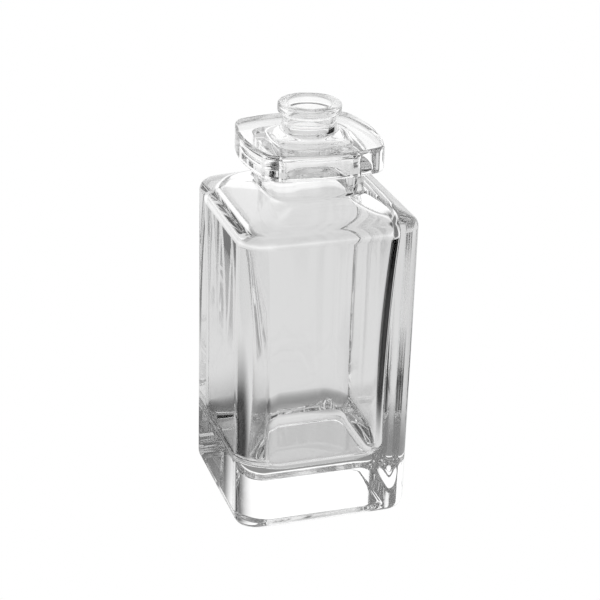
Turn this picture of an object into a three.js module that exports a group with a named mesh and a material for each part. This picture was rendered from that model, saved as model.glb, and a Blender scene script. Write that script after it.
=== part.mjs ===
// Square aftershave bottle of clear moulded glass, empty and open, with a crimp neck.
// Millimetres, +Z up. The origin is the centre of the footprint, on the surface it stands on.
//
// The glass is one moulding. It is divided at flat level planes into the zones that a glassmaker
// names, and each zone is a closed solid that meets the next one face to face.

import * as THREE from 'three';

// Body, outside
const bodyWidth = 43.64; // across the flats
const bodyCornerR = 6.0; // upright corners
const bodyHeight = 75.6; // to the edge where wall and shoulder planes cross
const shoulderEdgeR = 1.9; // round along that edge
const shoulderRise = 5.0; // from that edge to the foot of the throat

// Underside
const heelR = 2.2; // round from the walls to the foot
const footWidth = 3.0; // flat ring that the bottle stands on
const pushUp = 0.6; // depth of the hollow inside that ring
const pushUpRun = 2.2; // width of the ring's inner slope

// Cavity
const floorThickness = 13.6; // solid glass under the cavity
const floorR = 5.0; // round from the cavity's floor to its walls
const wallTop = 4.0; // wall thickness under the shoulder
const wallBottom = 4.8; // wall thickness where the floor's round begins
const cavityCornerR = 6.0; // upright corners of the cavity
const roofGlass = 3.2; // shoulder thickness, square to its slope
const roofEdgeR = 3.2; // round from the cavity's walls to its roof

// Throat, the soft square waist between the shoulder and the collar plate
const throatWidth = 23.0; // across the middles of two sides
const throatHeight = 6.0;
const throatSideR = 45.0; // plan radius of a bulging side
const throatCornerR = 5.0;
const throatFootR = 1.6; // fillet onto the shoulder
const throatTopR = 0.7; // fillet under the plate

// Bore through the throat and the collar plate, a soft square too
const throatBore = 18.8; // across the middles of two sides
const boreSideR = 45.0;
const boreCornerR = 4.5;
const boreTaper = 4.2; // height inside the plate in which it narrows to the neck's round bore

// Collar plate, a soft square with bulging sides
const plateWidth = 32.7; // across the middles of two sides
const plateThickness = 6.2;
const plateSideR = 38.0; // plan radius of a bulging side
const plateCornerR = 3.9;
const plateEdgeR = 0.8;

// Crimp neck for a 15 mm closure
const neckWidth = 12.5;
const neckHeight = 5.1; // from the plate to the bead
const neckFootR = 3.5; // wide fillet onto the plate
const beadWidth = 15.0;
const beadHeight = 2.5;
const beadEdgeR = 0.7;
const beadFilletR = 0.5; // under the bead
const mouthBore = 10.4;
const mouthEdgeR = 0.7;

// Fineness
const sideSteps = 3; // along half a side, up to the corner's stretch
const cornerSteps = 8; // round a corner
const roundSteps = 48; // round the neck and the bead
const arcStep = 30; // degrees of a profile arc between two rings
const flatSideR = 4000; // plan radius of a side that is flat

// Heights of the planes between the zones, from the bottom
const bodyHalf = bodyWidth / 2;
const throatHalf = throatWidth / 2;
const shoulderSlope = Math.atan2(shoulderRise, bodyHalf - throatHalf);
const edgeTurn = Math.PI / 2 - shoulderSlope; // angle that the wall turns through into the slope
const shoulderTop = bodyHeight + shoulderRise;
const baseTop = floorThickness + floorR;
const throatFootZ = shoulderTop + throatFootR * Math.tan(edgeTurn / 2);
const plateBottom = shoulderTop + throatHeight;
const plateTop = plateBottom + plateThickness;
const beadBottom = plateTop + neckHeight;
const beadTop = beadBottom + beadHeight;

// The roof runs parallel to the shoulder's slope, and its round ends where the walls do.
const roofDrop = roofGlass / Math.cos(shoulderSlope);
const cavityTopHalf = bodyHalf - wallTop;
const roofCornerZ = bodyHeight - roofDrop + wallTop * Math.tan(shoulderSlope);
const bodyTop = roofCornerZ - roofEdgeR * Math.tan(edgeTurn / 2);

// Polar angles of the points of a square ring: sparse along the sides, close round the corners
function squareAngles() {
  const cornerStart = (33 * Math.PI) / 180;
  const cornerSpan = Math.PI / 2 - 2 * cornerStart;
  const angles = [];
  for (let quarter = 0; quarter < 4; quarter += 1) {
    const start = (quarter * Math.PI) / 2;
    for (let i = 0; i < sideSteps; i += 1) {
      angles.push(start + (cornerStart * i) / sideSteps);
    }
    for (let i = 0; i < cornerSteps; i += 1) {
      angles.push(start + cornerStart + (cornerSpan * i) / cornerSteps);
    }
    for (let i = 0; i < sideSteps; i += 1) {
      angles.push(start + cornerStart + cornerSpan + (cornerStart * i) / sideSteps);
    }
  }
  return angles;
}

// Polar angles of the points of a ring in a round zone
function roundAngles() {
  return Array.from({ length: roundSteps }, (_, i) => (2 * Math.PI * i) / roundSteps);
}

// Distance from the axis to the outline of a square with arcs for sides and rounded corners.
// half is to the middle of a side. A corner radius as large as half makes a circle.
function outlineRadius(angle, half, cornerR, sideR) {
  if (cornerR >= half * 0.999) {
    return half;
  }
  const offset = sideR - half; // the side's arc is centred this far behind the axis
  const reach = sideR - cornerR;
  const corner = (Math.sqrt(8 * reach * reach - 4 * offset * offset) - 2 * offset) / 4;
  const tangent = Math.atan2(corner, corner + offset);
  const cornerStart = Math.atan2(sideR * Math.sin(tangent), sideR * Math.cos(tangent) - offset);
  const quarter = Math.PI / 2;
  const folded = Math.abs(angle - Math.round(angle / quarter) * quarter);
  if (folded <= cornerStart) {
    return Math.sqrt(sideR ** 2 - (offset * Math.sin(folded)) ** 2) - offset * Math.cos(folded);
  }
  const along = corner * (Math.cos(folded) + Math.sin(folded));
  return along + Math.sqrt(Math.max(cornerR ** 2 - 2 * corner ** 2 + along ** 2, 0));
}

// A ring is one level outline of the glass.
function squareRing(z, half, cornerR, sideR = flatSideR) {
  return { z, half, cornerR: Math.min(cornerR, half), sideR };
}

function roundRing(z, radius) {
  return { z, half: radius, cornerR: radius, sideR: flatSideR };
}

// Angles, in radians, of the rings of a profile arc, both ends included
function arcAngles(from, to) {
  const steps = Math.max(2, Math.ceil(Math.abs(to - from) / ((arcStep * Math.PI) / 180)));
  return Array.from({ length: steps + 1 }, (_, i) => from + ((to - from) * i) / steps);
}

// Solid through rings in order, with a point of each at every angle. A looped one closes on its
// first ring, as a sleeve does. One that isn't looped closes at the axis at both ends.
function loftRings(rings, angles, looped) {
  const positions = [];
  const faces = [];
  const count = angles.length;
  for (const { z, half, cornerR, sideR } of rings) {
    for (const angle of angles) {
      const r = outlineRadius(angle, half, cornerR, sideR);
      positions.push(r * Math.cos(angle), r * Math.sin(angle), z);
    }
  }
  const strips = looped ? rings.length : rings.length - 1;
  for (let k = 0; k < strips; k += 1) {
    const low = k * count;
    const high = ((k + 1) % rings.length) * count;
    for (let i = 0; i < count; i += 1) {
      const j = (i + 1) % count;
      faces.push(low + i, low + j, high + j, low + i, high + j, high + i);
    }
  }
  if (!looped) {
    const last = (rings.length - 1) * count;
    const bottom = positions.push(0, 0, rings[0].z) / 3 - 1;
    const top = positions.push(0, 0, rings[rings.length - 1].z) / 3 - 1;
    for (let i = 0; i < count; i += 1) {
      const j = (i + 1) % count;
      faces.push(bottom, j, i, top, last + i, last + j);
    }
  }
  const geometry = new THREE.BufferGeometry();
  geometry.setAttribute('position', new THREE.Float32BufferAttribute(positions, 3));
  geometry.setIndex(faces);
  geometry.computeVertexNormals();
  return geometry;
}

// Half width of the cavity's straight, slightly tapering wall
function cavityHalf(z) {
  const share = (z - baseTop) / (bodyTop - baseTop);
  return bodyHalf - wallBottom + (wallBottom - wallTop) * share;
}

// Outline of the throat, grown outward for its fillets, and of its bore
function throatRing(z, grow = 0) {
  return squareRing(z, throatHalf + grow, throatCornerR + grow, throatSideR);
}

function boreRing(z) {
  return squareRing(z, throatBore / 2, boreCornerR, boreSideR);
}

// Rings of the bore as it narrows through the plate, from the plate's top down
function boreTaperRings() {
  const steps = 4;
  return Array.from({ length: steps }, (_, i) => {
    const share = i / steps;
    const half = THREE.MathUtils.lerp(mouthBore, throatBore, THREE.MathUtils.smoothstep(share, 0, 1)) / 2;
    const cornerR = THREE.MathUtils.lerp(half, boreCornerR, share);
    return squareRing(plateTop - boreTaper * share, half, cornerR, boreSideR);
  });
}

function base() {
  const footHalf = bodyHalf - heelR;
  const hollowHalf = footHalf - footWidth;
  const footCornerR = bodyCornerR - heelR;
  const rings = [
    squareRing(pushUp, hollowHalf - pushUpRun, footCornerR),
    squareRing(0, hollowHalf, footCornerR),
  ];
  for (const a of arcAngles(-Math.PI / 2, 0)) {
    const grow = heelR * Math.cos(a);
    rings.push(squareRing(heelR + heelR * Math.sin(a), footHalf + grow, footCornerR + grow));
  }
  rings.push(squareRing(baseTop, bodyHalf, bodyCornerR));
  const lowHalf = cavityHalf(baseTop);
  for (const a of arcAngles(0, Math.PI / 2)) {
    const half = lowHalf - floorR + floorR * Math.cos(a);
    rings.push(squareRing(baseTop - floorR * Math.sin(a), half, cavityCornerR));
  }
  return loftRings(rings, squareAngles(), false);
}

function body() {
  const rings = [
    squareRing(baseTop, bodyHalf, bodyCornerR),
    squareRing(bodyTop, bodyHalf, bodyCornerR),
    squareRing(bodyTop, cavityHalf(bodyTop), cavityCornerR),
    squareRing(baseTop, cavityHalf(baseTop), cavityCornerR),
  ];
  return loftRings(rings, squareAngles(), true);
}

// Rings of a slope between two outlines, both left out
function slopeRings(start, end, steps) {
  return Array.from({ length: steps }, (_, i) => {
    const share = (i + 1) / (steps + 1);
    const half = THREE.MathUtils.lerp(start.half, end.half, share);
    const cornerR = THREE.MathUtils.lerp(start.cornerR, end.cornerR, share);
    const bulge = THREE.MathUtils.lerp(1 / start.sideR, 1 / end.sideR, share);
    return squareRing(THREE.MathUtils.lerp(start.z, end.z, share), half, cornerR, 1 / bulge);
  });
}

function shoulder() {
  const slopeSteps = 5;
  const rings = [squareRing(bodyTop, bodyHalf, bodyCornerR)];
  const edgeZ = bodyHeight - shoulderEdgeR * Math.tan(edgeTurn / 2);
  for (const a of arcAngles(0, edgeTurn)) {
    const cut = shoulderEdgeR * (1 - Math.cos(a));
    const z = edgeZ + shoulderEdgeR * Math.sin(a);
    rings.push(squareRing(z, bodyHalf - cut, bodyCornerR - cut));
  }
  const fillet = arcAngles(edgeTurn, 0).map((a) =>
    throatRing(throatFootZ - throatFootR * Math.sin(a), throatFootR * (1 - Math.cos(a))));
  rings.push(...slopeRings(rings[rings.length - 1], fillet[0], slopeSteps), ...fillet);

  const roof = [];
  for (const a of arcAngles(0, edgeTurn)) {
    const cut = roofEdgeR * (1 - Math.cos(a));
    const z = bodyTop + roofEdgeR * Math.sin(a);
    roof.push(squareRing(z, cavityTopHalf - cut, cavityCornerR));
  }
  const boreFoot = boreRing(roofCornerZ + (cavityTopHalf - throatBore / 2) * Math.tan(shoulderSlope));
  roof.push(...slopeRings(roof[roof.length - 1], boreFoot, slopeSteps), boreFoot, boreRing(throatFootZ));
  rings.push(...roof.reverse());
  return loftRings(rings, squareAngles(), true);
}

function throat() {
  const rings = [throatRing(throatFootZ)];
  for (const a of arcAngles(0, Math.PI / 2)) {
    const z = plateBottom - throatTopR + throatTopR * Math.sin(a);
    rings.push(throatRing(z, throatTopR * (1 - Math.cos(a))));
  }
  rings.push(boreRing(plateBottom), boreRing(throatFootZ));
  return loftRings(rings, squareAngles(), true);
}

function collarPlate() {
  const plateHalf = plateWidth / 2;
  const rings = [throatRing(plateBottom, throatTopR)];
  for (const a of arcAngles(-Math.PI / 2, 0)) {
    const cut = plateEdgeR * (1 - Math.cos(a));
    const z = plateBottom + plateEdgeR + plateEdgeR * Math.sin(a);
    rings.push(squareRing(z, plateHalf - cut, plateCornerR - cut, plateSideR));
  }
  for (const a of arcAngles(0, Math.PI / 2)) {
    const cut = plateEdgeR * (1 - Math.cos(a));
    const z = plateTop - plateEdgeR + plateEdgeR * Math.sin(a);
    rings.push(squareRing(z, plateHalf - cut, plateCornerR - cut, plateSideR));
  }
  rings.push(roundRing(plateTop, neckWidth / 2 + neckFootR));
  rings.push(...boreTaperRings(), boreRing(plateTop - boreTaper), boreRing(plateBottom));
  return loftRings(rings, squareAngles(), true);
}

function neck() {
  const neckHalf = neckWidth / 2;
  const rings = arcAngles(-Math.PI / 2, 0).map((a) => {
    const z = plateTop + neckFootR + neckFootR * Math.sin(a);
    return roundRing(z, neckHalf + neckFootR * (1 - Math.cos(a)));
  });
  for (const a of arcAngles(0, Math.PI / 2)) {
    const z = beadBottom - beadFilletR + beadFilletR * Math.sin(a);
    rings.push(roundRing(z, neckHalf + beadFilletR * (1 - Math.cos(a))));
  }
  rings.push(roundRing(beadBottom, mouthBore / 2), roundRing(plateTop, mouthBore / 2));
  return loftRings(rings, roundAngles(), true);
}

function crimpBead() {
  const beadHalf = beadWidth / 2;
  const rings = [roundRing(beadBottom, neckWidth / 2 + beadFilletR)];
  for (const a of arcAngles(-Math.PI / 2, 0)) {
    const z = beadBottom + beadEdgeR + beadEdgeR * Math.sin(a);
    rings.push(roundRing(z, beadHalf - beadEdgeR * (1 - Math.cos(a))));
  }
  for (const a of arcAngles(0, Math.PI / 2)) {
    const z = beadTop - beadEdgeR + beadEdgeR * Math.sin(a);
    rings.push(roundRing(z, beadHalf - beadEdgeR * (1 - Math.cos(a))));
  }
  for (const a of arcAngles(Math.PI / 2, 0)) {
    const z = beadTop - mouthEdgeR + mouthEdgeR * Math.sin(a);
    rings.push(roundRing(z, mouthBore / 2 + mouthEdgeR * (1 - Math.cos(a))));
  }
  rings.push(roundRing(beadBottom, mouthBore / 2));
  return loftRings(rings, roundAngles(), true);
}

// Each zone carries its own clear glass.
function addZone(group, name, geometry) {
  const glass = new THREE.MeshStandardMaterial({
    color: 0xf2f5f5,
    roughness: 0.03,
    metalness: 0,
    transparent: true,
    opacity: 0.35,
  });
  const mesh = new THREE.Mesh(geometry, glass);
  mesh.name = name;
  group.add(mesh);
}

const bottle = new THREE.Group();
addZone(bottle, 'base', base());
addZone(bottle, 'body', body());
addZone(bottle, 'shoulder', shoulder());
addZone(bottle, 'throat', throat());
addZone(bottle, 'collar_plate', collarPlate());
addZone(bottle, 'neck', neck());
addZone(bottle, 'crimp_bead', crimpBead());

export default bottle;
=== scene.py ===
import math
from collections import namedtuple

import bpy
import numpy as np
from mathutils import Matrix, Vector


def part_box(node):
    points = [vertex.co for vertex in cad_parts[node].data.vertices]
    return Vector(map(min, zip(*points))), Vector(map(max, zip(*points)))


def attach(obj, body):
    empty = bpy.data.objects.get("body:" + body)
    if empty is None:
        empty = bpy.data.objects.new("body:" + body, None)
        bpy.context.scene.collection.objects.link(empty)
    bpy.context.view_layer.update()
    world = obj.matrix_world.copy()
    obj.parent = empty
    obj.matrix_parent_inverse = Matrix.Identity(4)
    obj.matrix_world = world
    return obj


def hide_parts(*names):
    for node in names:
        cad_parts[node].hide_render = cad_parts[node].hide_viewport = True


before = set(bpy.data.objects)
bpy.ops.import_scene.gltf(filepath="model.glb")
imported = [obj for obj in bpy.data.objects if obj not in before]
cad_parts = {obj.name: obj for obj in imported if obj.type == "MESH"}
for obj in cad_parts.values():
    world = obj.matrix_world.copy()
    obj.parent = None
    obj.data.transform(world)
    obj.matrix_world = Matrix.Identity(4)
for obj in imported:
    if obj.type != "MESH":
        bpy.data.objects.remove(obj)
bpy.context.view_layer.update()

# One moulded wall of clear glass, lofted ring by ring from the foot over the rim and back down to the
# floor of the hollow. It is then cut at the level planes of the CAD nodes, so each zone is its own piece
# and still bends light as part of one wall.

mm = 0.001
flatSide = 4.0          # bow radius that counts as a straight side, m
circleShare = 0.999     # from this share of the half width on, a corner radius makes a circle
roundestShare = 0.98    # and this is the most that the hollow's corners take
glassZones = ["base", "body", "shoulder", "throat", "collar_plate", "neck", "crimp_bead"]


# level planes, and the outside widths of body, collar plate and bead, come from the frame

def nodeBottom(node):
    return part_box(node)[0][2]


def nodeTop(node):
    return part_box(node)[1][2]


def nodeHalf(node):
    low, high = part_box(node)
    return (high[0] - low[0]) / 2


bodyHalf = nodeHalf("body")
plateHalf = nodeHalf("collar_plate")
beadHalf = nodeHalf("crimp_bead")


# a ring is one level outline: a square with bowed sides and round corners, or a circle

ringShape = namedtuple("ringShape", "height half side corner shiftX shiftY uneven")


def ring(height, half, corner, side=flatSide, shift=(0.0, 0.0), uneven=0.0):
    return ringShape(height, half, side, min(corner, half), shift[0], shift[1], uneven)


def ease(t):
    return t * t * (3 - 2 * t)


def between(first, last, t):
    return first + (last - first) * t


def spread(first, last, steps):
    return [between(first, last, i / (steps - 1)) for i in range(steps)]


def arc(centreHeight, centreHalf, radius, fromDeg, toDeg, steps):
    # heights and half widths along a round, from one angle to another; 0 degrees points outward
    points = []
    for degrees in spread(fromDeg, toDeg, steps):
        turn = math.radians(degrees)
        points.append((centreHeight + radius * math.sin(turn), centreHalf + radius * math.cos(turn)))
    return points


def bowed(side, share):
    # bow radius on the way from a straight side to a bowed one
    return 1 / max(share * share / side, 1 / flatSide)


def outlineRadius(half, side, corner, angles):
    # distance from the axis to a square outline with bowed sides and round corners
    if corner >= half * circleShare:
        return np.full(len(angles), half)
    bow = side - half
    root = 4 * bow * bow - 8 * (bow * bow - (side - corner) ** 2)
    centre = (-2 * bow + math.sqrt(max(root, 0.0))) / 4
    meet = math.atan2(centre, centre + bow)
    edge = math.atan2(side * math.sin(meet), side * math.cos(meet) - bow)
    fold = np.abs(np.mod(angles + math.pi / 4, math.pi / 2) - math.pi / 4)
    c, s = np.cos(fold), np.sin(fold)
    onSide = -bow * c + np.sqrt(side * side - (bow * s) ** 2)
    along = centre * (c + s)
    onCorner = along + np.sqrt(np.maximum(corner * corner - (2 * centre * centre - along * along), 0))
    return np.where(fold <= edge, onSide, onCorner)


# the zones, foot first, each with its outer skin and its part of the hollow

base = {
    "heelRadius": 2.36 * mm,
    "footWidth": 2.83 * mm,        # flat ring that the bottle stands on
    "pushUp": 0.54 * mm,           # how far the middle of the underside is raised
    "pushUpRun": 1.32 * mm,        # width of the rise between foot ring and middle
    "floorThickness": 13.39 * mm,  # solid glass under the hollow
    "floorRadius": 4.4 * mm,       # round between the hollow's floor and its walls
    "floorRoundEnd": -86,          # degrees, where that round runs out into the slightly dished floor
    "floorCornerGain": 2.93 * mm,  # how much rounder the hollow's corners get towards its floor
}


def baseOutside():
    heel = base["heelRadius"]
    corner = body["cornerRadius"] - heel
    crown = bodyHalf - heel - base["footWidth"] - base["pushUpRun"]
    rings = [ring(base["pushUp"], crown * t, corner * t) for t in spread(0.01, 1, steps=30)]
    for t in spread(0, 1, steps=7)[1:]:
        rings.append(ring(base["pushUp"] * (1 - ease(t)), crown + base["pushUpRun"] * t, corner))
    for height, half in arc(heel, bodyHalf - heel, heel, -90, 0, steps=12):
        rings.append(ring(height, half, half - bodyHalf + body["cornerRadius"]))
    return rings


def hollowFloor():
    lean, corner, gain = body["leanBottom"], body["hollowCorner"], base["floorCornerGain"]
    floorRound, roundEnd = base["floorRadius"], base["floorRoundEnd"]
    wallFoot = base["floorThickness"] + floorRound
    flatHalf = bodyHalf - body["wallBottom"] - floorRound
    roundRings = arc(wallFoot, flatHalf, floorRound, roundEnd, 0, steps=22)
    rimHeight, rimHalf = roundRings[0]
    rings = []
    for t in (0.97, 0.8, 0.6, 0.4, 0.2):
        half = rimHalf * (1 - t)
        height = between(rimHeight, base["floorThickness"], math.sin(t * math.pi / 2))
        rings.append(ring(height, half, min(corner + gain, half * roundestShare), flatSide, lean, 1.0))
    for height, half in roundRings:
        soft = 1 - (half - flatHalf) / floorRound
        rings.append(ring(height, half, corner + soft * gain, flatSide, lean, 1.0))
    return rings


body = {
    "cornerRadius": 5.83 * mm,
    "wallTop": 3.95 * mm,                   # glass thickness of the walls at three heights
    "wallMiddle": 5.35 * mm,
    "wallBottom": 5.3 * mm,
    "hollowCorner": 7.2 * mm,               # round of the hollow's corners, and each corner's share of it:
    "cornerShares": (1.0, 0.75, 0.7, 0.6),  # back right, back left, front left, front right
    "leanTop": (-0.3 * mm, 0.1 * mm),       # how far the hollow sits off the axis
    "leanBottom": (-0.5 * mm, -0.3 * mm),
}


def bodyOutside():
    heights = spread(base["heelRadius"], shoulderStart(), steps=26)[1:-1]
    return [ring(height, bodyHalf, body["cornerRadius"]) for height in heights]


def hollowWall():
    lowHalf, midHalf, topHalf = (bodyHalf - body[wall] for wall in ("wallBottom", "wallMiddle", "wallTop"))
    start = base["floorThickness"] + base["floorRadius"]
    rings = []
    for t in spread(0, 1, steps=26)[1:]:
        # a smooth curve through the three thicknesses
        half = lowHalf * (2 * t - 1) * (t - 1) + midHalf * 4 * t * (1 - t) + topHalf * (2 * t - 1) * t
        lean = [between(low, top, t) for low, top in zip(body["leanBottom"], body["leanTop"])]
        rings.append(ring(between(start, roofStart(), t), half, body["hollowCorner"], flatSide, lean, 1.0))
    return rings


shoulder = {
    "rise": 5.0 * mm,              # height of the slope, from the wall's edge to the throat
    "edgeRadius": 2.46 * mm,       # round between wall and slope
    "glass": 2.85 * mm,            # thickness of the roof, square to the slope
    "roofEdgeRadius": 4.37 * mm,   # round inside, between roof and wall
    "roofMouthRadius": 1.28 * mm,  # round where the roof runs into the throat's bore
    "squareness": 1.45,            # how long the corners stay those of the walls going up
}


def slopeAngle():
    return math.atan2(shoulder["rise"], bodyHalf - throat["half"])


def slopeTurn():
    # how far the surface turns between upright and slope
    return math.pi / 2 - slopeAngle()


def roundReach(radius):
    # distance from an upright's corner with the slope to the start of the round there
    return radius * math.tan(slopeTurn() / 2)


def slopeCorner():
    # where wall and slope would meet without their round
    return nodeTop("shoulder") - roundReach(throat["footRadius"]) - shoulder["rise"]


def shoulderStart():
    return slopeCorner() - roundReach(shoulder["edgeRadius"])


def roofCorner():
    # where the hollow's wall and roof would meet without their round
    angle = slopeAngle()
    return slopeCorner() - shoulder["glass"] / math.cos(angle) + body["wallTop"] * math.tan(angle)


def roofStart():
    return roofCorner() - roundReach(shoulder["roofEdgeRadius"])


def shoulderOutside():
    edge, foot, turn = shoulder["edgeRadius"], throat["footRadius"], math.degrees(slopeTurn())
    rings = []
    for height, half in arc(shoulderStart(), bodyHalf - edge, edge, 0, turn, steps=12):
        rings.append(ring(height, half, half - bodyHalf + body["cornerRadius"]))
    footArc = arc(nodeTop("shoulder"), throat["half"] + foot, -foot, turn, 0, steps=9)
    start, (endHeight, endHalf) = rings[-1], footArc[0]
    for t in spread(0, 1, steps=16)[1:-1]:
        height, half = between(start.height, endHeight, t), between(start.half, endHalf, t)
        corner = between(start.corner, throat["cornerRadius"] + foot, t ** shoulder["squareness"])
        rings.append(ring(height, half, corner, bowed(throat["sideRadius"], t)))
    return rings + [throatRing(height, half) for height, half in footArc]


def hollowRoof():
    turn, lean, corner = math.degrees(slopeTurn()), body["leanTop"], body["hollowCorner"]
    wallHalf, boreHalf = bodyHalf - body["wallTop"], throat["bore"] / 2
    edge, mouth = shoulder["roofEdgeRadius"], shoulder["roofMouthRadius"]
    rings = []
    for height, half in arc(roofStart(), wallHalf - edge, edge, 0, turn, steps=14)[1:]:
        rings.append(ring(height, half, corner, flatSide, lean, 1.0))
    roofEnd = roofCorner() + (wallHalf - boreHalf) * math.tan(slopeAngle())
    mouthArc = arc(roofEnd + roundReach(mouth), boreHalf + mouth, -mouth, turn, 0, steps=8)
    start, (endHeight, endHalf) = rings[-1], mouthArc[0]
    for t in spread(0, 1, steps=16)[1:-1]:
        height, half = between(start.height, endHeight, t), between(start.half, endHalf, t)
        cornerHere = between(corner, throat["boreCornerRadius"] + mouth, t ** shoulder["squareness"])
        leanHere = (lean[0] * (1 - t), lean[1] * (1 - t))
        rings.append(ring(height, half, cornerHere, bowed(throat["boreSideRadius"], t), leanHere, 1 - t))
    for height, half in mouthArc:
        cornerHere = throat["boreCornerRadius"] + half - boreHalf
        rings.append(ring(height, half, cornerHere, throat["boreSideRadius"]))
    return rings


throat = {
    "half": 11.67 * mm,
    "cornerRadius": 3.98 * mm,
    "sideRadius": 56.85 * mm,      # bow of the four sides
    "footRadius": 1.30 * mm,       # fillet onto the shoulder
    "topRadius": 0.30 * mm,        # fillet under the plate
    "bore": 19.14 * mm,
    "boreCornerRadius": 4.69 * mm,
    "boreSideRadius": 30.37 * mm,
    "boreTaper": 3.34 * mm,        # height inside the plate in which the bore narrows to the neck's
}


def throatRing(height, half):
    return ring(height, half, throat["cornerRadius"] + half - throat["half"], throat["sideRadius"])


def throatOutside():
    fillet = throat["topRadius"]
    filletStart = nodeTop("throat") - fillet
    rings = [throatRing(h, throat["half"]) for h in spread(nodeTop("shoulder"), filletStart, steps=6)[1:-1]]
    for height, half in arc(filletStart, throat["half"] + fillet, -fillet, 0, -90, steps=6):
        rings.append(throatRing(height, half))
    return rings


def boreRing(height):
    # square in the throat, round in the neck, and tapering inside the plate
    share = min(max((nodeTop("collar_plate") - height) / throat["boreTaper"], 0.0), 1.0)
    half = between(neck["bore"], throat["bore"], ease(share)) / 2
    corner = between(half, throat["boreCornerRadius"], share)
    return ring(height, half, corner, bowed(throat["boreSideRadius"], share ** 0.5))


def boreInside(start):
    plateTop = nodeTop("collar_plate")
    taperFoot = plateTop - throat["boreTaper"]
    mouthEdge = nodeTop("crimp_bead") - crimpBead["mouthEdgeRadius"]
    heights = spread(start, taperFoot, steps=10)[:-1]
    heights += spread(taperFoot, plateTop, steps=30)
    heights += spread(plateTop, mouthEdge, steps=5)[1:-1]
    return [boreRing(height) for height in heights]


collarPlate = {
    "sideRadius": 38 * mm,         # bow of the four sides
    "cornerRadius": 3.9 * mm,
    "edgeRadius": 0.8 * mm,
    "innerSideRadius": 900 * mm,   # the bow fades towards this across the top
}


def plateOutside():
    low, high, edge = nodeBottom("collar_plate"), nodeTop("collar_plate"), collarPlate["edgeRadius"]
    side, corner = collarPlate["sideRadius"], collarPlate["cornerRadius"]
    edgeHalf = plateHalf - edge
    start = throatRing(low, throat["half"] + throat["topRadius"])
    rings = []
    for t in (0.35, 0.7):
        cornerHere = between(start.corner, corner - edge, t)
        rings.append(ring(low, between(start.half, edgeHalf, t), cornerHere, side))
    for height, half in arc(low + edge, edgeHalf, edge, -90, 0, steps=8):
        rings.append(ring(height, half, half - plateHalf + corner, side))
    for height, half in arc(high - edge, edgeHalf, edge, 0, 90, steps=8):
        rings.append(ring(height, half, half - plateHalf + corner, side))
    for t in (0.33, 0.66):
        half = between(edgeHalf, neck["half"] + neck["footRadius"], t)
        sideHere = between(side, collarPlate["innerSideRadius"], t * t)
        rings.append(ring(high, half, between(corner, half, t), sideHere))
    return rings


neck = {
    "half": 6.25 * mm,
    "footRadius": 3.5 * mm,        # wide fillet onto the plate
    "bore": 10.4 * mm,
}


def neckOutside():
    foot = neck["footRadius"]
    footTop = nodeBottom("neck") + foot
    tubeTop = nodeTop("neck") - crimpBead["filletRadius"]
    points = arc(footTop, neck["half"] + foot, -foot, 90, 0, steps=9)
    points += [(height, neck["half"]) for height in spread(footTop, tubeTop, steps=5)[1:]]
    return [ring(height, half, half) for height, half in points]


crimpBead = {
    "edgeRadius": 0.7 * mm,
    "filletRadius": 0.5 * mm,      # between neck and bead
    "mouthEdgeRadius": 0.7 * mm,
}


def beadOutside():
    low, high, edge = nodeBottom("crimp_bead"), nodeTop("crimp_bead"), crimpBead["edgeRadius"]
    fillet = crimpBead["filletRadius"]
    points = arc(low - fillet, neck["half"] + fillet, -fillet, 0, -90, steps=6)
    points += arc(low + edge, beadHalf - edge, edge, -90, 0, steps=8)
    points += arc(high - edge, beadHalf - edge, edge, 0, 90, steps=8)
    return [ring(height, half, half) for height, half in points]


def mouthInside():
    edge = crimpBead["mouthEdgeRadius"]
    points = arc(nodeTop("crimp_bead") - edge, neck["bore"] / 2 + edge, -edge, 0, -90, steps=7)
    return [ring(height, half, half) for height, half in points]


# the rings become points, and the loft is cut at the zones' planes

ringDetail = {"sidePoints": 8, "cornerPoints": 20, "cornerStart": 33}   # points on each eighth of a ring


def ringAngles():
    side, corner = ringDetail["sidePoints"], ringDetail["cornerPoints"]
    start = math.radians(ringDetail["cornerStart"])
    end = math.pi / 2 - start
    quarter = list(np.linspace(0, start, side, endpoint=False))
    quarter += list(np.linspace(start, end, 2 * corner, endpoint=False))
    quarter += list(np.linspace(end, math.pi / 2, side, endpoint=False))
    return np.array([q * math.pi / 2 + angle for q in range(4) for angle in quarter])


def ringPoints(rings):
    angles = ringAngles()
    quarter = (angles // (math.pi / 2)).astype(int) % 4
    rows = []
    for r in rings:
        radius = outlineRadius(r.half, r.side, r.corner, angles)
        if r.uneven > 0:
            for q, share in enumerate(body["cornerShares"]):
                own = min(r.corner * between(1, share, r.uneven), r.half * roundestShare)
                radius[quarter == q] = outlineRadius(r.half, r.side, own, angles[quarter == q])
        x, y = radius * np.cos(angles) + r.shiftX, radius * np.sin(angles) + r.shiftY
        rows.append(np.stack([x, y, np.full(len(angles), r.height)], axis=1))
    return np.array(rows)


def loftNormals(points):
    # large faces count for more, so flat walls stay flat right up to their rounds
    across = np.roll(points, -1, axis=1)
    faces = np.cross(across[1:] - points[:-1], points[1:] - across[:-1])
    total = np.zeros_like(points)
    total[:-1] += faces + np.roll(faces, 1, axis=1)
    total[1:] += faces + np.roll(faces, 1, axis=1)
    return total / np.maximum(np.linalg.norm(total, axis=2, keepdims=True), 1e-20)


sameLevel = 1e-7        # m
closeShare = 0.02       # a ring this near to a plane, as a share of the gap, is moved onto it


def cutLevel(rings, height):
    # puts a ring exactly at a cutting plane, between its two neighbours or in place of a close one
    for i, (low, high) in enumerate(zip(rings, rings[1:])):
        if abs(low.height - height) < sameLevel:
            return rings
        if low.height < height < high.height:
            t = (height - low.height) / (high.height - low.height)
            if closeShare <= t <= 1 - closeShare:
                added = ringShape(*(between(a, b, t) for a, b in zip(low, high)))
                return rings[:i + 1] + [added._replace(height=height)] + rings[i + 1:]
            near = i if t < closeShare else i + 1
            return rings[:near] + [rings[near]._replace(height=height)] + rings[near + 1:]
    return rings


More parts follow.
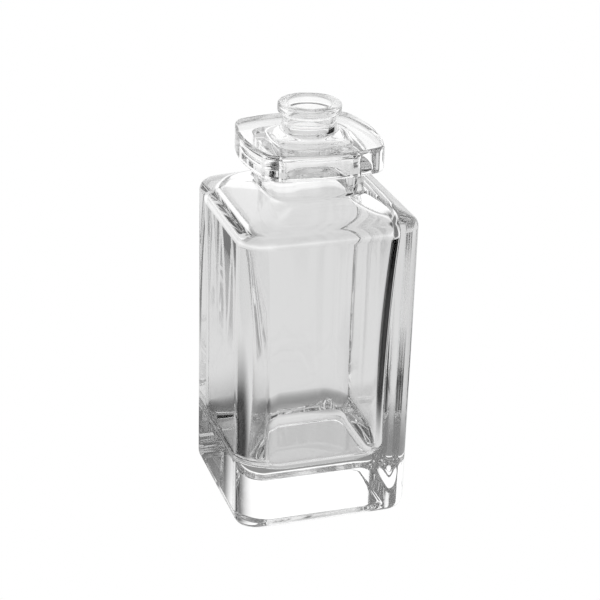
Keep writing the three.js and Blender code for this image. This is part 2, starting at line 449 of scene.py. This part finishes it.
def glassLoft():
    outside = baseOutside() + bodyOutside() + shoulderOutside() + throatOutside()
    outside += plateOutside() + neckOutside() + beadOutside()
    inside = hollowFloor() + hollowWall() + hollowRoof()
    inside += boreInside(inside[-1].height + 0.1 * mm) + mouthInside()
    for node in glassZones[:-1]:
        outside = cutLevel(outside, nodeTop(node))
        inside = cutLevel(inside, nodeTop(node))
    whole = ringPoints(outside + inside[::-1])
    normals = loftNormals(whole)
    count = len(outside)
    print("glass wall:", len(whole), "rings of", whole.shape[1], "points")
    return {
        "outside": (whole[:count], normals[:count], outside),
        "inside": (whole[count:][::-1], normals[count:][::-1], inside),
    }


def joinRow(rings, height):
    # the ring at a cutting plane; where a flat face lies in that plane, its narrow end
    rows = [i for i, r in enumerate(rings) if abs(r.height - height) < sameLevel]
    return min(rows, key=lambda i: rings[i].half)


class glassFaces:
    # faces of one zone, with a normal for each corner and a material slot for each face

    def __init__(self):
        self.verts, self.faces, self.normals, self.slots = [], [], [], []

    def add(self, face, normals, slot):
        self.faces.append(face)
        self.normals += normals
        self.slots.append(slot)


outerSlot, innerSlot, joinSlot = range(3)   # in the order of the finishes


def addSkin(zone, points, normals, slot):
    # quads from ring to ring; the hollow's faces look the other way
    start, (rows, count, _) = len(zone.verts), points.shape
    normals = normals.reshape(-1, 3)
    zone.verts += points.reshape(-1, 3).tolist()
    for row in range(rows - 1):
        for i in range(count):
            j = (i + 1) % count
            quad = [row * count + i, row * count + j, (row + 1) * count + j, (row + 1) * count + i]
            if slot == innerSlot:
                quad.reverse()
            zone.add([start + q for q in quad], [normals[q] for q in quad], slot)
    return start, start + (rows - 1) * count


def addMiddle(zone, points, start, slot):
    # closes the first ring: the middle of the underside, and of the hollow's floor
    middle, count = len(zone.verts), len(points)
    zone.verts.append(points.mean(axis=0).tolist())
    for i in range(count):
        here, following = start + i, start + (i + 1) % count
        if slot == innerSlot:
            zone.add([middle, here, following], [(0, 0, 1)] * 3, slot)
        else:
            zone.add([middle, following, here], [(0, 0, -1)] * 3, slot)


def glassPiece(name, loft, materials):
    first, last = name == glassZones[0], name == glassZones[-1]
    zone = glassFaces()
    edges = []
    for skin, slot in (("outside", outerSlot), ("inside", innerSlot)):
        points, normals, rings = loft[skin]
        lowRow = 0 if first else joinRow(rings, nodeBottom(name))
        highRow = len(rings) - 1 if last else joinRow(rings, nodeTop(name))
        rows = slice(lowRow, highRow + 1)
        edges.append(addSkin(zone, points[rows], normals[rows], slot))
        if first:
            addMiddle(zone, points[0], edges[-1][0], slot)
    (outLow, outHigh), (inLow, inHigh) = edges
    count = loft["outside"][0].shape[1]
    for i in range(count):
        j = (i + 1) % count
        if not first:
            lower = [outLow + j, outLow + i, inLow + i, inLow + j]
            zone.add(lower, [(0, 0, -1)] * 4, joinSlot)
        upper = [outHigh + i, outHigh + j, inHigh + j, inHigh + i]
        zone.add(upper, [(0, 0, 1)] * 4, outerSlot if last else joinSlot)
    mesh = bpy.data.meshes.new(name + "_glass")
    mesh.from_pydata(zone.verts, [], zone.faces)
    for material in materials:
        mesh.materials.append(material)
    mesh.polygons.foreach_set("material_index", zone.slots)
    mesh.polygons.foreach_set("use_smooth", [True] * len(zone.faces))
    mesh.normals_split_custom_set(zone.normals)
    piece = bpy.data.objects.new(name + "_glass", mesh)
    bpy.context.scene.collection.objects.link(piece)
    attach(piece, "root")
    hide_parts(name)
    print(name, len(zone.faces), "faces")


# finishes of the glass

def newMaterial(name):
    material = bpy.data.materials.new(name)
    material.use_nodes = True
    material.node_tree.nodes.clear()
    return material


def mathNode(tree, operation, first, second=None):
    node = tree.nodes.new("ShaderNodeMath")
    node.operation = operation
    for i, value in enumerate((first, second)):
        if isinstance(value, (int, float)):
            node.inputs[i].default_value = value
        elif value is not None:
            tree.links.new(value, node.inputs[i])
    return node.outputs[0]


def rippleGroup():
    # slow swells and a fine skin, as pressed and blown glass has
    group = bpy.data.node_groups.new("glassRipple", "ShaderNodeTree")
    starts = {"Swell Size": 60.0, "Swell Depth": 0.5, "Skin Size": 900.0, "Skin Depth": 0.05}
    for name, value in starts.items():
        socket = group.interface.new_socket(name=name, in_out="INPUT", socket_type="NodeSocketFloat")
        socket.default_value = value
    group.interface.new_socket(name="Height", in_out="OUTPUT", socket_type="NodeSocketFloat")
    inputs, outputs = group.nodes.new("NodeGroupInput"), group.nodes.new("NodeGroupOutput")
    place = group.nodes.new("ShaderNodeTexCoord")
    layers = []
    for size, depth in (("Swell Size", "Swell Depth"), ("Skin Size", "Skin Depth")):
        texture = group.nodes.new("ShaderNodeTexNoise")
        texture.inputs["Detail"].default_value = 1.0
        texture.inputs["Roughness"].default_value = 0.4
        group.links.new(place.outputs["Object"], texture.inputs["Vector"])
        group.links.new(inputs.outputs[size], texture.inputs["Scale"])
        layers.append(mathNode(group, "MULTIPLY", texture.outputs["Fac"], inputs.outputs[depth]))
    group.links.new(mathNode(group, "ADD", *layers), outputs.inputs["Height"])
    return group


outerGlass = {
    "swellSize": 55.0, "swellDepth": 0.35,
    "skinSize": 700.0, "skinDepth": 0.01,
    "ripple": 0.02 * mm,
}
innerGlass = {
    "swellSize": 75.0, "swellDepth": 0.8,
    "skinSize": 500.0, "skinDepth": 0.02,
    "ripple": 0.04 * mm,
}


def glassMaterial(name, finish, ripple):
    material = newMaterial(name)
    nodes, links = material.node_tree.nodes, material.node_tree.links
    output = nodes.new("ShaderNodeOutputMaterial")
    shader = nodes.new("ShaderNodeBsdfPrincipled")
    shader.inputs["Base Color"].default_value = (1, 1, 1, 1)
    shader.inputs["Roughness"].default_value = 0.0
    shader.inputs["IOR"].default_value = 1.51
    shader.inputs["Transmission Weight"].default_value = 1.0
    group = nodes.new("ShaderNodeGroup")
    group.node_tree = ripple
    group.inputs["Swell Size"].default_value = finish["swellSize"]
    group.inputs["Swell Depth"].default_value = finish["swellDepth"]
    group.inputs["Skin Size"].default_value = finish["skinSize"]
    group.inputs["Skin Depth"].default_value = finish["skinDepth"]
    bump = nodes.new("ShaderNodeBump")
    bump.inputs["Distance"].default_value = finish["ripple"]
    bump.inputs["Strength"].default_value = 1.0
    links.new(group.outputs["Height"], bump.inputs["Height"])
    links.new(bump.outputs["Normal"], shader.inputs["Normal"])
    links.new(shader.outputs["BSDF"], output.inputs["Surface"])
    return material


def joinMaterial():
    # the level faces where two zones of the same glass meet: nothing is seen there
    material = newMaterial("glassJoin")
    nodes, links = material.node_tree.nodes, material.node_tree.links
    output = nodes.new("ShaderNodeOutputMaterial")
    clear = nodes.new("ShaderNodeBsdfTransparent")
    links.new(clear.outputs[0], output.inputs["Surface"])
    return material


# floor and light: the camera sees them white, the glass sees the tones below, which on the floor are
# painted light and shade

def fade(tree, value, ends, low, high):
    # smooth change from low to high as the value goes from the first end to the second
    node = tree.nodes.new("ShaderNodeMapRange")
    node.interpolation_type = "SMOOTHSTEP"
    tree.links.new(value, node.inputs["Value"])
    node.inputs["From Min"].default_value, node.inputs["From Max"].default_value = ends
    node.inputs["To Min"].default_value = low
    node.inputs["To Max"].default_value = high
    return node.outputs["Result"]


def whiteToCamera(tree, value):
    path = tree.nodes.new("ShaderNodeLightPath")
    choose = tree.nodes.new("ShaderNodeMix")
    choose.data_type = "FLOAT"
    tree.links.new(path.outputs["Is Camera Ray"], choose.inputs[0])
    tree.links.new(value, choose.inputs[2])
    choose.inputs[3].default_value = 1.0
    return choose.outputs[0]


# pairs are the two ends of a soft edge, in metres
studioFloor = {
    "size": 3.0,
    "drop": 0.1 * mm,                # just below the foot
    # painted light and shade: the floor glows darker close to the bottle and brighter far behind it
    "near": 0.71,
    "far": 1.0,
    "farLightEdge": (0.13, 0.30),         # y where the floor's glow turns from near to far: painted light, brighter far behind the bottle
    "under": 0.5,                    # painted shade under the foot
    "underShadeEdge": (0.0165, 0.0185),
    "shadowDepth": 0.65,             # soft shadow just behind the bottle
    "shadowFront": (0.020, 0.024),
    "shadowBack": (0.028, 0.056),
    "shadowSide": (0.020, 0.045),
    "shadowSpotCentre": (-0.044, 0.025),   # painted shadow: a small dark patch close by at the left
    "shadowSpotEdge": (0.016, 0.041),
    "rightFlagShade": (0.056, 0.078),     # painted shadows of dark flag cards on the floor at both sides
    "leftFlagShade": (-0.12, -0.14),
    "flagShadeEnd": (0.17, 0.24),
    "flagShadeBack": (0.06, 0.02),        # their back edge, and how much it slants
    "flagShadeSlant": 0.3,
}


def softShadow(tree, y, sideways):
    behind = mathNode(tree, "MULTIPLY", fade(tree, y, studioFloor["shadowFront"], 0, 1),
                      fade(tree, y, studioFloor["shadowBack"], 1, 0))
    shadow = mathNode(tree, "MULTIPLY", behind, fade(tree, sideways, studioFloor["shadowSide"], 1, 0))
    return mathNode(tree, "SUBTRACT", 1.0, mathNode(tree, "MULTIPLY", shadow, studioFloor["shadowDepth"]))


# painted shade on the floor: a dark patch close by at the left, and shadows of flag cards at both sides
def paintedSideShade(tree, x, y, sideways):
    # painted shadow: a dark patch close by at the left of the bottle
    shadowSpotX, shadowSpotY = studioFloor["shadowSpotCentre"]
    alongX = mathNode(tree, "POWER", mathNode(tree, "SUBTRACT", x, shadowSpotX), 2.0)
    alongY = mathNode(tree, "POWER", mathNode(tree, "SUBTRACT", y, shadowSpotY), 2.0)
    distance = mathNode(tree, "SQRT", mathNode(tree, "ADD", alongX, alongY))
    shadowSpot = fade(tree, distance, studioFloor["shadowSpotEdge"], 1, 0)
    # painted shadows of flag cards at both sides, in front of a slanted back edge
    slanted = mathNode(tree, "SUBTRACT", y, mathNode(tree, "MULTIPLY", sideways, studioFloor["flagShadeSlant"]))
    flagShade = mathNode(tree, "MAXIMUM", fade(tree, x, studioFloor["rightFlagShade"], 0, 1),
                     fade(tree, x, studioFloor["leftFlagShade"], 0, 1))
    flagShade = mathNode(tree, "MULTIPLY", flagShade, fade(tree, sideways, studioFloor["flagShadeEnd"], 1, 0))
    flagShade = mathNode(tree, "MULTIPLY", flagShade, fade(tree, slanted, studioFloor["flagShadeBack"], 0, 1))
    return mathNode(tree, "SUBTRACT", 1.0, mathNode(tree, "MAXIMUM", shadowSpot, flagShade))


def paleFloor():
    half, level = studioFloor["size"] / 2, -studioFloor["drop"]
    corners = [(x, y, level) for x, y in ((-half, -half), (half, -half), (half, half), (-half, half))]
    mesh = bpy.data.meshes.new("studio_floor")
    mesh.from_pydata(corners, [], [(0, 1, 2, 3)])
    floor = bpy.data.objects.new("studio_floor", mesh)
    bpy.context.scene.collection.objects.link(floor)
    material = newMaterial("paleSweep")
    tree = material.node_tree
    place = tree.nodes.new("ShaderNodeNewGeometry")
    split = tree.nodes.new("ShaderNodeSeparateXYZ")
    tree.links.new(place.outputs["Position"], split.inputs[0])
    x, y = split.outputs["X"], split.outputs["Y"]
    sideways = mathNode(tree, "ABSOLUTE", x)
    reach = mathNode(tree, "MAXIMUM", sideways, mathNode(tree, "ABSOLUTE", y))
    # painted light: the floor's glow rises towards the back
    glow = fade(tree, y, studioFloor["farLightEdge"], studioFloor["near"], studioFloor["far"])
    # painted shade: the floor darkens under the foot
    underFootShade = fade(tree, reach, studioFloor["underShadeEdge"], studioFloor["under"] / studioFloor["near"], 1.0)
    for shade in (softShadow(tree, y, sideways), underFootShade, paintedSideShade(tree, x, y, sideways)):
        glow = mathNode(tree, "MULTIPLY", glow, shade)
    # the floor glows: its painted light and shade go into the emission
    emission = tree.nodes.new("ShaderNodeEmission")
    tree.links.new(whiteToCamera(tree, glow), emission.inputs["Color"])
    output = tree.nodes.new("ShaderNodeOutputMaterial")
    tree.links.new(emission.outputs[0], output.inputs["Surface"])
    mesh.materials.append(material)
    print("floor laid")


# edges are shares of the direction: y points to the back, z up, x to the right
softbox = {
    "panelGlow": 1.12,              # bright panel behind the bottle
    "panelEdge": (0.23, 0.76),
    "roomGlow": 0.18,               # dim room at both sides
    "frontGlow": 0.25,              # grey wall behind the camera
    "frontEdge": (-0.5, -0.9),
    "ceilingGlow": 0.9,
    "ceilingEdge": (0.72, 0.94),
    "ceilingLeft": (-0.35, -0.1),   # where the ceiling's glow ends at the left
}


def softLight():
    world = bpy.data.worlds.new("softbox")
    bpy.context.scene.world = world
    world.use_nodes = True
    tree = world.node_tree
    tree.nodes.clear()
    place = tree.nodes.new("ShaderNodeTexCoord")
    split = tree.nodes.new("ShaderNodeSeparateXYZ")
    tree.links.new(place.outputs["Generated"], split.inputs[0])
    x, y, z = split.outputs
    panel = fade(tree, y, softbox["panelEdge"], softbox["roomGlow"], softbox["panelGlow"])
    front = fade(tree, y, softbox["frontEdge"], 0.0, softbox["frontGlow"])
    ceiling = fade(tree, z, softbox["ceilingEdge"], 0.0, softbox["ceilingGlow"])
    ceiling = mathNode(tree, "MULTIPLY", ceiling, fade(tree, x, softbox["ceilingLeft"], 0.0, 1.0))
    glow = mathNode(tree, "MAXIMUM", panel, mathNode(tree, "MAXIMUM", front, ceiling))
    background = tree.nodes.new("ShaderNodeBackground")
    tree.links.new(whiteToCamera(tree, glow), background.inputs["Color"])
    output = tree.nodes.new("ShaderNodeOutputWorld")
    tree.links.new(background.outputs[0], output.inputs["Surface"])
    print("light set")


view = {
    "azimuth": -18.758, "elevation": 24.401, "roll": 1.735,   # degrees
    "distance": 406.343 * mm, "lens": 100.29,
    "lookAt": (-0.92 * mm, 0.0, 50.076 * mm),
}


def placeCamera():
    a, e, r = (math.radians(view[key]) for key in ("azimuth", "elevation", "roll"))
    back = Vector((math.sin(a) * math.cos(e), -math.cos(a) * math.cos(e), math.sin(e)))
    level = Vector((math.cos(a), math.sin(a), 0))
    up = back.cross(level)
    across = level * math.cos(r) + up * math.sin(r)
    camera = bpy.data.objects.new("camera", bpy.data.cameras.new("camera"))
    placed = Matrix((across, up * math.cos(r) - level * math.sin(r), back)).transposed().to_4x4()
    placed.translation = Vector(view["lookAt"]) + back * view["distance"]
    camera.matrix_world = placed
    camera.data.lens = view["lens"]
    camera.data.clip_start = 10 * mm
    scene = bpy.context.scene
    scene.collection.objects.link(camera)
    scene.camera = camera
    scene.view_settings.view_transform = "Standard"
    print("camera placed")


def glassBounces():
    # light crosses many glass faces before it gets out
    cycles = bpy.context.scene.cycles
    cycles.max_bounces = 24
    cycles.transmission_bounces = 24
    cycles.glossy_bounces = 12
    cycles.transparent_max_bounces = 32
    cycles.use_denoising = True


placeCamera()
glassBounces()
paleFloor()
softLight()
ripple = rippleGroup()
finishes = [
    glassMaterial("outerGlass", outerGlass, ripple),
    glassMaterial("innerGlass", innerGlass, ripple),
    joinMaterial(),
]
print("finishes made")
loft = glassLoft()
for zone in glassZones:
    glassPiece(zone, loft, finishes)
